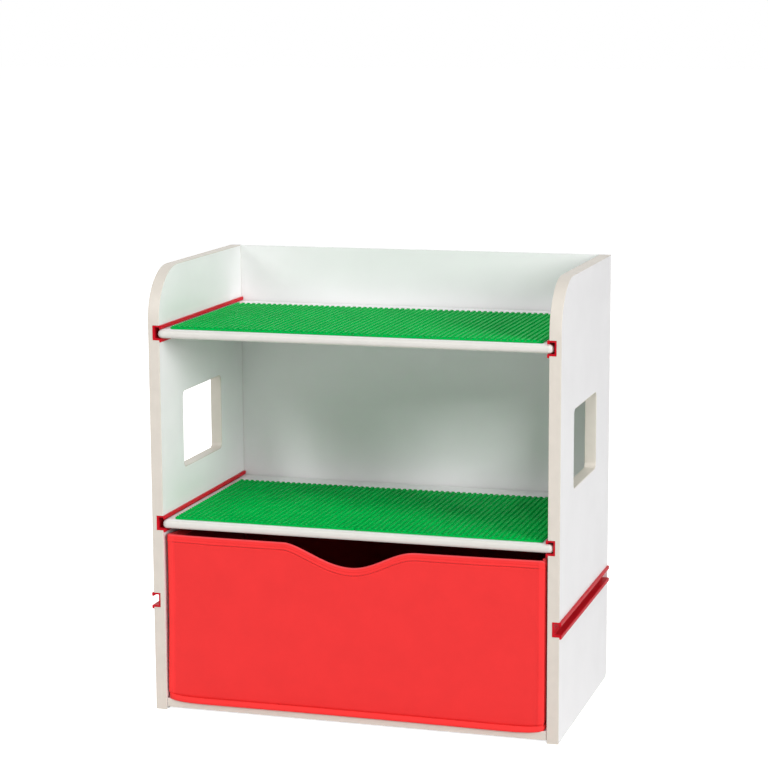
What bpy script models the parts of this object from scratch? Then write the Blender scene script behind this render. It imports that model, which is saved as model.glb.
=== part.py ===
"""An open-fronted shelf unit for building blocks, with two pull-out building boards and a fabric box.

Metres, +Z up. The origin is on the floor, at the middle of the unit's width and depth, and the open
front faces -Y. The unit rests on the two side panels, and is measured from the floor up.
"""

import math

import bmesh
import bpy
from mathutils import Matrix, Vector

# Clearances
seat_gap = 0.0003
cut_overrun = 0.004
weld_distance = 0.00001

# Side panels
unit_width = 0.566
panel_thickness = 0.016
panel_depth = 0.317
top_corner_radius = 0.070
edge_easing = 0.0008

# Windows in the side panels
window_height = 0.106
window_length = 0.145
window_above_middle_rail = 0.0622
window_front_setback = 0.0815
window_corner_radius = 0.007

# Pull-out building boards
board_thickness = 0.012
board_end_play = 0.003
board_edge_radius = 0.004
board_running_gap = 0.001
top_board_shift_share = 0.33
middle_board_shift_share = 0.87

# Rails
rail_wall = 0.0024
rail_depth = 0.0124
rail_proud = 0.0028
rail_headroom = 0.0029
rail_lip_gap = 0.0005
rail_hanging_lip = 0.0049
rail_end_setback = 0.0005
rail_lip_easing = 0.0007
rail_pitch = 0.2608
tray_side_height = 0.0864
outer_rail_height = 0.1547

# Baseplates
stud_pitch = 0.008
plate_thickness = 0.002
plate_margin = 0.0002
plate_corner_radius = 0.004
plate_front_setback = 0.008
plate_side_room = 0.003

# Bottom board
bottom_thickness = 0.012
bottom_floor_clearance = 0.004
bottom_front_setback = 0.001

# Dowels in the bottom board
dowel_diameter = 0.006
dowel_length = 0.030
dowel_chamfer = 0.001
dowel_depth_in_panel = 0.0115
dowels_each_side = 3
dowel_end_distance = 0.045

# Back panel
back_thickness = 0.003
back_floor_clearance = 0.004

# Nails of the back panel
nail_length = 0.020
nail_diameter = 0.002
nail_point_length = 0.003
nail_head_diameter = 0.005
nail_head_thickness = 0.001
nail_spacing = 0.130
nails_in_bottom = 4
nail_end_distance = 0.055

# Fabric box
box_side_play = 0.004
box_front_setback = 0.001
box_rear_play = 0.011
box_height = 0.2315
box_headroom = 0.0025
box_wall = 0.0035
box_floor_thickness = 0.002
box_lower_corner_radius = 0.010
box_upper_corner_radius = 0.003
hem_width = 0.011
hem_relief = 0.0008
scoop_depth = 0.0295
scoop_width = 0.194
base_board_thickness = 0.003
base_board_play = 0.0015

# Steps of the round stretches
big_arc_steps = 16
small_arc_steps = 5
scoop_steps = 28
turned_steps = 12
edge_segments = 3
crease_angle = math.radians(40)

# Places that several pieces share
half_width = unit_width / 2
inner_face = half_width - panel_thickness
unit_depth = panel_depth + seat_gap + back_thickness
front_face = -unit_depth / 2
panel_rear_face = front_face + panel_depth
back_front_face = panel_rear_face + seat_gap
back_rear_face = back_front_face + back_thickness
bottom_top = bottom_floor_clearance + bottom_thickness
bottom_middle = bottom_floor_clearance + bottom_thickness / 2
box_width = 2 * (inner_face - box_side_play)
box_depth = panel_depth - box_front_setback - box_rear_play
box_bottom = bottom_top + seat_gap
groove_depth = rail_depth - rail_proud
rail_height = 2 * rail_wall + seat_gap + board_thickness + rail_headroom
rail_length = panel_depth - 2 * rail_end_setback
rail_below_middle = rail_height / 2 - rail_wall + rail_hanging_lip
middle_rail_height = box_bottom + box_height + box_headroom + rail_below_middle
top_rail_height = middle_rail_height + rail_pitch
unit_height = top_rail_height + tray_side_height
window_sill_height = middle_rail_height + window_above_middle_rail
board_length = 2 * (inner_face + groove_depth - rail_wall - board_end_play)
board_depth = panel_depth - board_running_gap
studs_across = int((inner_face - rail_proud - plate_side_room) / stud_pitch)
studs_deep = min(studs_across, int((board_depth - plate_front_setback) / stud_pitch))

side_signs = {"left": -1, "right": 1}

# Turns that carry an outline from its own plane to the unit
facing_x = Matrix(((0, 0, 1, 0), (1, 0, 0, 0), (0, 1, 0, 0), (0, 0, 0, 1)))
facing_y = Matrix.Rotation(math.pi / 2, 4, "X")
facing_z = Matrix.Identity(4)
along_x = Matrix.Rotation(math.pi / 2, 4, "Y")
along_y = Matrix.Rotation(-math.pi / 2, 4, "X")


def clear_scene():
    """Removes every object that the file starts with."""
    for thing in list(bpy.data.objects):
        bpy.data.objects.remove(thing)


def new_collection(name, parent):
    """A collection under the given parent."""
    collection = bpy.data.collections.new(name)
    parent.children.link(collection)
    return collection


def finish_of(name, colour, roughness, metallic=0.0):
    """A Principled material with one colour."""
    finish = bpy.data.materials.new(name + "_finish")
    finish.use_nodes = True
    shader = finish.node_tree.nodes["Principled BSDF"]
    shader.inputs["Base Color"].default_value = (*colour, 1.0)
    shader.inputs["Roughness"].default_value = roughness
    shader.inputs["Metallic"].default_value = metallic
    finish.diffuse_color = (*colour, 1.0)
    return finish


def laminate(name):
    """White melamine over board."""
    return finish_of(name, (0.83, 0.83, 0.82), 0.38)


def red_plastic(name):
    """Red extruded plastic."""
    return finish_of(name, (0.62, 0.02, 0.04), 0.35)


def green_plastic(name):
    """Green moulded plastic."""
    return finish_of(name, (0.0, 0.30, 0.09), 0.30)


def red_fabric(name):
    """Red non-woven fabric."""
    return finish_of(name, (0.80, 0.05, 0.05), 0.85)


def steel(name):
    """Bright zinc-plated steel."""
    return finish_of(name, (0.62, 0.63, 0.65), 0.30, 1.0)


def beech(name):
    """Bare beech."""
    return finish_of(name, (0.66, 0.46, 0.27), 0.70)


def fibreboard(name):
    """Grey-brown pressed board."""
    return finish_of(name, (0.32, 0.27, 0.22), 0.90)


def add_slide(name, place):
    """The empty that carries the pieces of one body that slides out to the front."""
    slide = bpy.data.objects.new(name, None)
    slide.location = place
    parts.objects.link(slide)
    return slide


def add_piece(name, shape, finish_maker, carrier=None):
    """One named piece of the unit, in its carrier's frame if it has one."""
    piece = bpy.data.objects.new(name, shape)
    piece.parent = carrier
    parts.objects.link(piece)
    if not shape.materials:
        shape.materials.append(None)
    piece.material_slots[0].link = "OBJECT"
    piece.material_slots[0].material = finish_maker(name)
    return piece


def add_cutter(name, shape, group, carrier=None):
    """A shape that is cut out of a piece, left out of the model itself."""
    cutter = bpy.data.objects.new(name + "_cutter", shape)
    cutter.parent = carrier
    group.objects.link(cutter)
    cutter.hide_render = True
    cutter.display_type = "WIRE"
    return cutter


def cut(piece, group):
    """Takes every cutter of a group out of a piece."""
    difference = piece.modifiers.new("cuts", "BOOLEAN")
    difference.operation = "DIFFERENCE"
    difference.solver = "EXACT"
    difference.operand_type = "COLLECTION"
    difference.collection = group


def ease_edges(piece, width, segments):
    """Rounds every sharp edge of a piece."""
    bevel = piece.modifiers.new("easing", "BEVEL")
    bevel.width = width
    bevel.segments = segments
    bevel.limit_method = "ANGLE"
    bevel.angle_limit = crease_angle


def box_shape(name, low, high):
    """A box between two corners."""
    shape = bpy.data.meshes.new(name)
    grid = bmesh.new()
    bmesh.ops.create_cube(grid, size=1.0)
    size = Vector(high) - Vector(low)
    middle = (Vector(high) + Vector(low)) / 2
    grid_to_place = Matrix.Translation(middle) @ Matrix.Diagonal((*size, 1.0))
    bmesh.ops.transform(grid, matrix=grid_to_place, verts=grid.verts)
    grid.to_mesh(shape)
    grid.free()
    return shape


def turned_shape(name, profile, turn):
    """A turned solid from (radius, height) points that run from the top of its axis to the bottom."""
    line = bpy.data.meshes.new(name + "_profile")
    edges = [(i, i + 1) for i in range(len(profile) - 1)]
    line.from_pydata([(radius, 0, height) for radius, height in profile], edges, [])
    guide = bpy.data.objects.new(name + "_guide", line)
    bpy.context.scene.collection.objects.link(guide)
    screw = guide.modifiers.new("turning", "SCREW")
    screw.steps = turned_steps
    screw.render_steps = turned_steps
    screw.use_merge_vertices = True
    screw.merge_threshold = weld_distance
    return mesh_from(guide, name, turn)


def mesh_from(guide, name, turn):
    """The evaluated shape of a guide as a welded mesh with its faces outward; the guide is removed."""
    bpy.context.view_layer.update()
    evaluated = guide.evaluated_get(bpy.context.evaluated_depsgraph_get())
    shape = bpy.data.meshes.new_from_object(evaluated)
    bpy.data.objects.remove(guide)
    grid = bmesh.new()
    grid.from_mesh(shape)
    bmesh.ops.remove_doubles(grid, verts=grid.verts, dist=weld_distance)
    bmesh.ops.recalc_face_normals(grid, faces=grid.faces)
    grid.to_mesh(shape)
    grid.free()
    shape.name = name
    shape.transform(turn)
    shape.shade_smooth()
    shape.set_sharp_from_angle(angle=crease_angle)
    return shape


def outline_shape(name, outlines, thickness, turn):
    """A flat outline, with any further outlines as its holes, given a thickness."""
    curve = bpy.data.curves.new(name + "_outline", "CURVE")
    curve.dimensions = "2D"
    curve.fill_mode = "BOTH"
    curve.extrude = thickness / 2
    for points in outlines:
        spline = curve.splines.new("POLY")
        spline.points.add(len(points) - 1)
        spline.use_cyclic_u = True
        for place, (across, along) in zip(spline.points, points):
            place.co = (across, along, 0, 1)
    guide = bpy.data.objects.new(name + "_guide", curve)
    bpy.context.scene.collection.objects.link(guide)
    return mesh_from(guide, name, turn)


def corner_arcs(corners, steps):
    """The points at each corner of an outline, given as (across, along, radius): an arc or the corner."""
    arcs = []
    for index, (across, along, radius) in enumerate(corners):
        corner = Vector((across, along))
        if radius == 0:
            arcs.append([tuple(corner)])
            continue
        before = (Vector(corners[index - 1][:2]) - corner).normalized()
        after = (Vector(corners[(index + 1) % len(corners)][:2]) - corner).normalized()
        half_angle = before.angle(after) / 2
        centre = corner + (before + after).normalized() * radius / math.sin(half_angle)
        tangent = radius / math.tan(half_angle)
        start = corner + before * tangent - centre
        sweep = start.angle_signed(corner + after * tangent - centre)
        turns = [-sweep * step / steps for step in range(steps + 1)]
        arcs.append([tuple(centre + Matrix.Rotation(turn, 2) @ start) for turn in turns])
    return arcs


def rounded(corners, steps):
    """A whole outline from its corners, given as (across, along, radius)."""
    return [point for arc in corner_arcs(corners, steps) for point in arc]


def rounded_rectangle(left, right, low, high, radius, steps):
    """A rectangle with four equal arcs."""
    corners = [(left, low, radius), (right, low, radius), (right, high, radius), (left, high, radius)]
    return rounded(corners, steps)


def spread(count, low, high):
    """Places at equal steps between two limits, both included."""
    return [low + (high - low) * index / (count - 1) for index in range(count)]


def rail_outline(side):
    """The channel of a rail, open towards +side, its back at zero across and its middle at zero along."""
    half = rail_height / 2
    face = groove_depth + seat_gap
    floor = rail_wall - half
    upper_lip = floor + seat_gap + board_thickness + rail_lip_gap
    lower_lip = -rail_below_middle
    easing = rail_lip_easing
    corners = [
        (0, -half, 0),
        (face, -half, 0),
        (face, lower_lip, 0),
        (rail_depth, lower_lip, easing),
        (rail_depth, floor, easing),
        (rail_wall, floor, 0),
        (rail_wall, half - rail_wall, 0),
        (face, half - rail_wall, 0),
        (face, upper_lip, 0),
        (rail_depth, upper_lip, easing),
        (rail_depth, half, easing),
        (0, half, 0),
    ]
    return [(side * across, along) for across, along in rounded(corners, small_arc_steps)]


def rail_back(side, faces_out):
    """Where the back of a rail's web stands across the unit."""
    if faces_out:
        return side * (half_width - groove_depth)
    return side * (inner_face + groove_depth)


def add_rail(name, side, height, faces_out):
    """One plastic rail, with its mouth to the inside or the outside of the unit."""
    mouth = side if faces_out else -side
    middle = front_face + panel_depth / 2
    turn = Matrix.Translation((rail_back(side, faces_out), middle, height)) @ facing_y
    shape = outline_shape(name, [rail_outline(mouth)], rail_length, turn)
    return add_piece(name, shape, red_plastic)


def add_groove_cutter(name, side, height, faces_out, group):
    """The groove that holds a rail, right through the front and rear edges of the panel."""
    deep = rail_back(side, faces_out) - side * seat_gap * (1 if faces_out else -1)
    face = side * (half_width + cut_overrun) if faces_out else side * (inner_face - cut_overrun)
    reach = rail_height / 2 + seat_gap
    low = (min(deep, face), front_face - cut_overrun, height - reach)
    high = (max(deep, face), panel_rear_face + cut_overrun, height + reach)
    add_cutter(name, box_shape(name, low, high), group)


def dowel_places():
    """Where the dowels stand from front to rear."""
    return spread(dowels_each_side, front_face + dowel_end_distance, panel_rear_face - dowel_end_distance)


def side_nail_places():
    """The heights of the nails in the rear edge of a side panel, spread between its grooves."""
    stops = [0, outer_rail_height, middle_rail_height, top_rail_height, unit_height]
    places = []
    for low, high in zip(stops, stops[1:]):
        steps = max(round((high - low) / nail_spacing), 1) + 1
        places.extend(spread(steps + 1, low, high)[1:-1])
    return places


def bottom_nail_places():
    """Where the nails in the rear edge of the bottom board stand across the unit."""
    reach = inner_face - nail_end_distance
    return spread(nails_in_bottom, -reach, reach)


def nail_places():
    """Every nail as a name and its place on the back panel."""
    places = {}
    for side_name, side in side_signs.items():
        across = side * (half_width - panel_thickness / 2)
        for index, height in enumerate(side_nail_places()):
            places[f"back_nail_{side_name}_{index + 1}"] = (across, height)
    for index, across in enumerate(bottom_nail_places()):
        places[f"back_nail_bottom_{index + 1}"] = (across, bottom_middle)
    return places


def nail_profile(extra):
    """Half a nail from its head at zero down to its point, grown all round by the extra."""
    head = nail_head_diameter / 2 + extra
    shank = nail_diameter / 2 + extra
    under_head = -nail_head_thickness - extra
    tip = -nail_length - extra
    crown = cut_overrun if extra else 0
    return [
        (0, crown),
        (head, crown),
        (head, under_head),
        (shank, under_head),
        (shank, tip + nail_point_length),
        (0, tip),
    ]


def dowel_profile(extra):
    """Half a dowel about its middle, grown all round by the extra."""
    radius = dowel_diameter / 2 + extra
    half = dowel_length / 2 + extra
    return [
        (0, half),
        (radius - dowel_chamfer, half),
        (radius, half - dowel_chamfer),
        (radius, dowel_chamfer - half),
        (radius - dowel_chamfer, -half),
        (0, -half),
    ]


def add_turned_cutters(name, profile, turn, places, group):
    """A bore of the same shape at each place."""
    shape = turned_shape(name, profile, turn)
    for index, place in enumerate(places):
        cutter = add_cutter(f"{name}_{index + 1}", shape, group)
        cutter.location = place


def dowel_middle(side):
    """Where a dowel's middle stands across the unit."""
    return side * (inner_face + dowel_depth_in_panel - dowel_length / 2)


def add_side_panel(side_name, side):
    """A side panel with its rounded top corner, window, grooves and bores."""
    name = f"side_panel_{side_name}"
    outline = rounded(
        [
            (front_face, 0, 0),
            (panel_rear_face, 0, 0),
            (panel_rear_face, unit_height, 0),
            (front_face, unit_height, top_corner_radius),
        ],
        big_arc_steps,
    )
    window = rounded_rectangle(
        front_face + window_front_setback,
        front_face + window_front_setback + window_length,
        window_sill_height,
        window_sill_height + window_height,
        window_corner_radius,
        small_arc_steps,
    )
    middle = side * (half_width - panel_thickness / 2)
    turn = Matrix.Translation((middle, 0, 0)) @ facing_x
    panel = add_piece(name, outline_shape(name, [outline, window], panel_thickness, turn), laminate)
    ease_edges(panel, edge_easing, 1)
    group = new_collection(name + "_cuts", cutters)
    add_groove_cutter(name + "_top", side, top_rail_height, False, group)
    add_groove_cutter(name + "_middle", side, middle_rail_height, False, group)
    add_groove_cutter(name + "_outer", side, outer_rail_height, True, group)
    dowels = [(dowel_middle(side), along, bottom_middle) for along in dowel_places()]
    add_turned_cutters(name + "_dowel", dowel_profile(seat_gap), along_x, dowels, group)
    nails = [(middle, back_rear_face, height) for height in side_nail_places()]
    add_turned_cutters(name + "_nail", nail_profile(seat_gap), along_y, nails, group)
    cut(panel, group)


def add_bottom_board():
    """The bottom board between the side panels, bored for its dowels and nails."""
    name = "bottom_board"
    reach = inner_face - seat_gap
    low = (-reach, front_face + bottom_front_setback, bottom_floor_clearance)
    high = (reach, panel_rear_face, bottom_top)
    board = add_piece(name, box_shape(name, low, high), laminate)
    ease_edges(board, edge_easing, 1)
    group = new_collection(name + "_cuts", cutters)
    dowels = [(dowel_middle(s), y, bottom_middle) for s in side_signs.values() for y in dowel_places()]
    add_turned_cutters(name + "_dowel", dowel_profile(seat_gap), along_x, dowels, group)
    nails = [(across, back_rear_face, bottom_middle) for across in bottom_nail_places()]
    add_turned_cutters(name + "_nail", nail_profile(seat_gap), along_y, nails, group)
    cut(board, group)


def add_back_panel():
    """The thin back panel on the rear edges, with its nails sunk flush."""
    name = "back_panel"
    low = (-half_width, back_front_face, back_floor_clearance)
    high = (half_width, back_rear_face, unit_height)
    panel = add_piece(name, box_shape(name, low, high), laminate)
    group = new_collection(name + "_cuts", cutters)
    nails = [(across, back_rear_face, height) for across, height in nail_places().values()]
    add_turned_cutters(name + "_nail", nail_profile(seat_gap), along_y, nails, group)
    cut(panel, group)


def add_fasteners():
    """The dowels of the bottom board and the nails of the back panel."""
    dowel = turned_shape("dowel", dowel_profile(0), along_x)
    for side_name, side in side_signs.items():
        for index, along in enumerate(dowel_places()):
            piece = add_piece(f"bottom_dowel_{side_name}_{index + 1}", dowel, beech)
            piece.location = (dowel_middle(side), along, bottom_middle)
    nail = turned_shape("nail", nail_profile(0), along_y)
    for name, (across, height) in nail_places().items():
        piece = add_piece(name, nail, steel)
        piece.location = (across, back_rear_face, height)


def add_building_board(place, rail_middle, shift_share):
    """One pull-out board with its two baseplates, resting on the floor of its rails."""
    low_face = rail_middle - rail_height / 2 + rail_wall + seat_gap
    slide = add_slide(f"{place}_board_slide", (shift_share * board_end_play, front_face, low_face))
    name = f"{place}_board"
    low = (-board_length / 2, 0, 0)
    high = (board_length / 2, board_depth, board_thickness)
    board = add_piece(name, box_shape(name, low, high), laminate, slide)
    ease_edges(board, board_edge_radius, edge_segments)
    width = studs_across * stud_pitch
    depth = studs_deep * stud_pitch
    outline = rounded_rectangle(
        plate_margin,
        width - plate_margin,
        plate_margin,
        depth - plate_margin,
        plate_corner_radius,
        small_arc_steps,
    )
    plate_middle = board_thickness + seat_gap + plate_thickness / 2
    for side_name, left_edge in (("left", -width), ("right", 0)):
        plate_name = f"{place}_baseplate_{side_name}"
        turn = Matrix.Translation((left_edge, plate_front_setback, plate_middle)) @ facing_z
        shape = outline_shape(plate_name, [outline], plate_thickness, turn)
        add_piece(plate_name, shape, green_plastic, slide)


def scoop_points(inset):
    """The hand cut-out in the front wall from right to left, or a line at an inset below it."""
    points = []
    half = scoop_width / 2
    for index in range(scoop_steps + 1):
        share = 1 - 2 * index / scoop_steps
        drop = scoop_depth * (1 + math.cos(math.pi * share)) / 2
        slope = scoop_depth * math.pi / scoop_width * math.sin(math.pi * share)
        below = Vector((slope, -1)).normalized() * inset
        points.append((share * half + below.x, box_height - drop + below.y))
    return points


def box_wall_outline(half_length, lower_radius, with_scoop, inset):
    """The outline of a fabric wall, or the line at an inset inside it, anticlockwise."""
    lower = max(lower_radius - inset, 0)
    upper = max(box_upper_corner_radius - inset, 0)
    reach = half_length - inset
    corners = [
        (-reach, inset, lower),
        (reach, inset, lower),
        (reach, box_height - inset, upper),
        (-reach, box_height - inset, upper),
    ]
    arcs = corner_arcs(corners, small_arc_steps)
    if with_scoop:
        arcs.insert(-1, scoop_points(inset))
    return [point for arc in arcs for point in arc]


def add_box_wall(name, half_length, lower_radius, with_scoop, turn, outward, slide):
    """One wall of the fabric box, its field recessed inside the hem on the outward side."""
    outline = box_wall_outline(half_length, lower_radius, with_scoop, 0)
    wall = add_piece(name, outline_shape(name, [outline], box_wall, turn), red_fabric, slide)
    field_thickness = hem_relief + cut_overrun
    field_middle = outward * (box_wall / 2 - hem_relief + field_thickness / 2)
    field_turn = turn @ Matrix.Translation((0, 0, field_middle))
    field = box_wall_outline(half_length, lower_radius, with_scoop, hem_width)
    field_shape = outline_shape(name + "_field", [field], field_thickness, field_turn)
    group = new_collection(name + "_cuts", cutters)
    add_cutter(name + "_field", field_shape, group, slide)
    cut(wall, group)


def add_fabric_box():
    """The fabric box: four hemmed walls, a sewn floor and a loose base board."""
    slide = add_slide("fabric_box_slide", (0, front_face + box_front_setback, box_bottom))
    half = box_width / 2
    front_turn = Matrix.Translation((0, box_wall / 2, 0)) @ facing_y
    rear_turn = Matrix.Translation((0, box_depth - box_wall / 2, 0)) @ facing_y
    add_box_wall("box_front_wall", half, box_lower_corner_radius, True, front_turn, 1, slide)
    add_box_wall("box_rear_wall", half, box_lower_corner_radius, False, rear_turn, -1, slide)
    near = box_wall + seat_gap
    far = box_depth - near
    half_depth = (far - near) / 2
    for side_name, side in side_signs.items():
        turn = Matrix.Translation((side * (half - box_wall / 2), box_depth / 2, 0)) @ facing_x
        name = f"box_{side_name}_wall"
        add_box_wall(name, half_depth, box_upper_corner_radius, False, turn, side, slide)
    reach = half - near
    floor_shape = box_shape("box_floor", (-reach, near, 0), (reach, far, box_floor_thickness))
    add_piece("box_floor", floor_shape, red_fabric, slide)
    play = base_board_play
    under = box_floor_thickness + seat_gap
    base_low = (play - reach, near + play, under)
    base_high = (reach - play, far - play, under + base_board_thickness)
    base_shape = box_shape("box_base_board", base_low, base_high)
    add_piece("box_base_board", base_shape, fibreboard, slide)


clear_scene()
parts = new_collection("building_block_shelf", bpy.context.scene.collection)
cutters = new_collection("cutters", bpy.context.scene.collection)
for panel_side_name, panel_side in side_signs.items():
    add_side_panel(panel_side_name, panel_side)
    add_rail(f"top_rail_{panel_side_name}", panel_side, top_rail_height, False)
    add_rail(f"middle_rail_{panel_side_name}", panel_side, middle_rail_height, False)
    add_rail(f"outer_rail_{panel_side_name}", panel_side, outer_rail_height, True)
add_bottom_board()
add_back_panel()
add_fasteners()
add_building_board("top", top_rail_height, top_board_shift_share)
add_building_board("middle", middle_rail_height, middle_board_shift_share)
add_fabric_box()
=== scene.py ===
"""The looks of an open-fronted shelf for building blocks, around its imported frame.

Metres, +Z up. The open front faces -Y and the unit stands on the floor at zero height.
"""

import math

import bmesh
import bpy
from mathutils import Matrix, Vector, noise


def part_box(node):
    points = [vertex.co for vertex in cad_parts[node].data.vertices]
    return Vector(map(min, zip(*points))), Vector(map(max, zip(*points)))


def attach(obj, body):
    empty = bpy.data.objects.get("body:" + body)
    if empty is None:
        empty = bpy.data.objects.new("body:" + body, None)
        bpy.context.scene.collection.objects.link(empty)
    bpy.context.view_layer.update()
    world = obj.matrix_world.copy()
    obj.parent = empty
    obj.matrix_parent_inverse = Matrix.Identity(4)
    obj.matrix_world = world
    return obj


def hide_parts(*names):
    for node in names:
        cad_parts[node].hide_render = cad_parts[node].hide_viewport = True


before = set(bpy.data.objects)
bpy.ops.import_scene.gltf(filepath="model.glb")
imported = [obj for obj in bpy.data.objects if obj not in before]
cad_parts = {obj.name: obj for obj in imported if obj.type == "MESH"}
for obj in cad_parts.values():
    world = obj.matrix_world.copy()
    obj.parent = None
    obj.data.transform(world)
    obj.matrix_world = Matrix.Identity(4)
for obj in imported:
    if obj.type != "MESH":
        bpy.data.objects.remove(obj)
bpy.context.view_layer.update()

MM = 0.001

# Camera
camera_place = (0.8910, -2.9418, 0.9560)
camera_yaw = 0.29445
camera_pitch = -0.16625
camera_roll = -0.00523
camera_lens = 106.03
camera_sensor = 36.0
camera_reach = (0.05, 100)

# Side panels
top_corner_radius = 70 * MM
band_thickness = 1.0 * MM
band_easing = 0.8 * MM
window_low = (-78.65 * MM, 325.0 * MM)
window_high = (66.35 * MM, 431.0 * MM)
window_corner_radius = 7 * MM

# Rails
rail_height = 20 * MM
rail_wall = 2.4 * MM
rail_proud = 2.8 * MM
rail_lip_gap = 0.8 * MM
rail_fillet = 0.25 * MM
rail_lip_easing = 0.7 * MM
groove_clearance = 0.15 * MM
cut_overrun = 4 * MM

# Boards
board_upper_radius = 5.5 * MM
board_lower_radius = 5 * MM
board_plan_radius = 6 * MM
bottom_edge_radius = 0.8 * MM
bottom_plan_radius = 1.0 * MM
back_edge_radius = 0.4 * MM
back_plan_radius = 0.6 * MM

# Baseplates
stud_pitch = 8 * MM
stud_radius = 2.4 * MM
stud_height = 1.8 * MM
stud_easing = 0.25 * MM
stud_sides = 12
plate_corner_radius = 3 * MM

# Nails
nail_head_radius = 2.5 * MM
nail_head_rise = 0.15 * MM
nail_head_thickness = 1.0 * MM
nail_radius = 1.0 * MM
nail_point = 3 * MM

# Fabric box
hem_width = 11 * MM
hem_rise = 0.45 * MM
hem_softness = 0.25 * MM
ridge_share = 0.6
ridge_offset = 1.4 * MM
ridge_width = 0.8 * MM
# Width of the rim band that wears the paler red, a painted highlight where the rim catches the light; the
# inner side bands take the same width
rim_highlight_width = 2.2 * MM
hem_grooves = [(3.3 * MM, 0.35 * MM), (6.8 * MM, 0.6 * MM)]
hem_groove_width = 0.9 * MM
stitch_line = 10.4 * MM
stitch_groove = 1.3 * MM
stitch_groove_width = 0.75 * MM
stitch_wander = 0.6 * MM
stitch_wander_length = 40 * MM
band_width = 8.5 * MM
band_rise = 0.55 * MM
band_softness = 0.7 * MM
band_fade = 1.3 * MM
pucker_height = 0.22 * MM
pucker_length = 9 * MM
pucker_reach = 11 * MM
pucker_side_reach = 50 * MM
pucker_side_gain = 1.5
wall_rim_radius = 1.7 * MM
front_bulge = 2.0 * MM
side_bulge = 1.2 * MM
inner_relief_share = 0.3
undulation = 0.5 * MM
undulation_length = 60 * MM
undulation_fractal = (0.9, 2.1, 2)
ripple = 0.22 * MM
ripple_length = 16 * MM
scoop_depth = 29.5 * MM
scoop_reach_left = 94 * MM
scoop_reach_right = 89 * MM
scoop_power_left = 0.75
rim_sag_left = 1.1 * MM
rim_sag_right = 3.9 * MM
rim_sag_lost = 0.3
side_rim_sag = 5 * MM
lower_corner_radius = 12 * MM
upper_corner_radius = 3 * MM
seam_half_height = 3.8 * MM
seam_half_thickness = 1.9 * MM
seam_proud = 0.9 * MM
seam_sag = 3.6 * MM
hang_gain = 0.35
seam_front_clearance = 0.3 * MM
seam_front_reach = 10 * MM
seam_sides = 14
seam_tie = 1.4
seam_tie_height = 0.3
foot_corner_radius = 5 * MM
seam_wobble = 0.10
crease_rise = 0.2 * MM
crease_depth = 1.2 * MM
crease_width = 1.3 * MM
tuck_depth = 1.0 * MM
tuck_length = 7 * MM
stitch_length = 2.4 * MM
stitch_pitch = 3.4 * MM
stitch_radius = 0.38 * MM
stitch_rise = 0.15 * MM
stitch_search = 0.1 * MM
slope_step = 0.2 * MM
stitch_sides = 6
left_edge_flare = 1.4 * MM
left_edge_pull = 3.4 * MM
left_edge_span = 1.55
left_edge_power = 1.5
left_edge_fade = 3
base_board_radius = 4 * MM
slab_easing = 0.5 * MM
cloth_step = 3.5 * MM
close_places = [
    place * MM
    for place in (0, 0.15, 0.4, 0.8, 1.2, 1.7, 2.4, 3.2, 4.0, 4.8, 5.4, 5.9, 6.3, 6.7, 7.1, 7.6, 8.1, 8.6)
    + (9.0, 9.4, 9.7, 10.0, 10.25, 10.5, 10.75, 11.0, 11.4, 11.9, 12.6, 13.6, 15.0, 17.0, 19.5)
]
# Cloth finishes: the field, the hem, the side bands (lighter, painted light), the rim (paler, painted
# highlight) and the inner face (darker, painted shade)
field_slot, hem_slot, lit_band_slot, rim_highlight_slot, inner_shade_slot = range(5)

# Way out from each wall, and the seed of its noise
walls = {"front": ((0, -1), 1.7), "rear": ((0, 1), 2.9), "left": ((-1, 0), 4.3), "right": ((1, 0), 6.1)}

# Lights
world_light = 0.22
floor_glow = 0.82
floor_reach = 30
lamp_target = (0, 0, 0.3)
lamps = {
    "key": ((6.29, -3.93, 2.72), 2.9, 384),
    "left": ((-2.63, -3.37, 2.48), 1.6, 56),
    "upper": ((1.0, -2.4, 4.2), 1.8, 62),
    "rear": ((-3.3, 1.7, 2.0), 1.8, 60),
}

# Steps
arc_steps = 24
small_arc_steps = 4
window_arc_steps = 6
board_arc_steps = 9
turned_sides = 24
weld_distance = 0.00001
crease_angle = math.radians(35)
level_angle = math.radians(1)
broad_share = 12

side_signs = {"left": -1, "right": 1}
board_places = ("top", "middle")
rail_places = (*board_places, "outer")

# Colours, linear
white_laminate = (0.850, 0.845, 0.850)
cream = (0.655, 0.608, 0.542)
pale_cream = (0.676, 0.662, 0.622)
rail_red = (0.540, 0.008, 0.018)
plate_green = (0.000, 0.425, 0.068)
fabric_red = (0.805, 0.0390, 0.0390)
hem_red = (0.845, 0.0400, 0.0400)
# Lighter red on the rolled side bands and the foot seam: painted light that the rolls catch
lit_band_red = (0.905, 0.0440, 0.0440)
# Paler red on the rim of the walls: a painted highlight
rim_highlight_red = (0.820, 0.068, 0.076)
# Darker red on the inner face of the walls: painted shade inside the box, whose cloth is the same red on
# both sides
inner_shade_red = (0.430, 0.0180, 0.0200)
thread_red = (0.380, 0.010, 0.015)
zinc = (0.62, 0.63, 0.65)
beech_wood = (0.62, 0.43, 0.25)
pressed_board = (0.30, 0.25, 0.20)
sheen_tint = (1.0, 0.42, 0.38)
cloth_specular = 0.05
noise_stretch = (0.3, 0.7)
floor_white = (0.85, 0.85, 0.85)


def box_of(node):
    """Lowest and highest corner of a CAD node as plain vectors."""
    low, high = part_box(node)
    return Vector(low), Vector(high)


def size_of(node):
    """Size of a CAD node along each axis."""
    low, high = box_of(node)
    return high - low


# Sizes taken from the frame
board_thickness = size_of("top_board").z
rail_hanging_lip = size_of("top_rail_left").z - rail_height + rail_wall


# Materials


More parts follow.
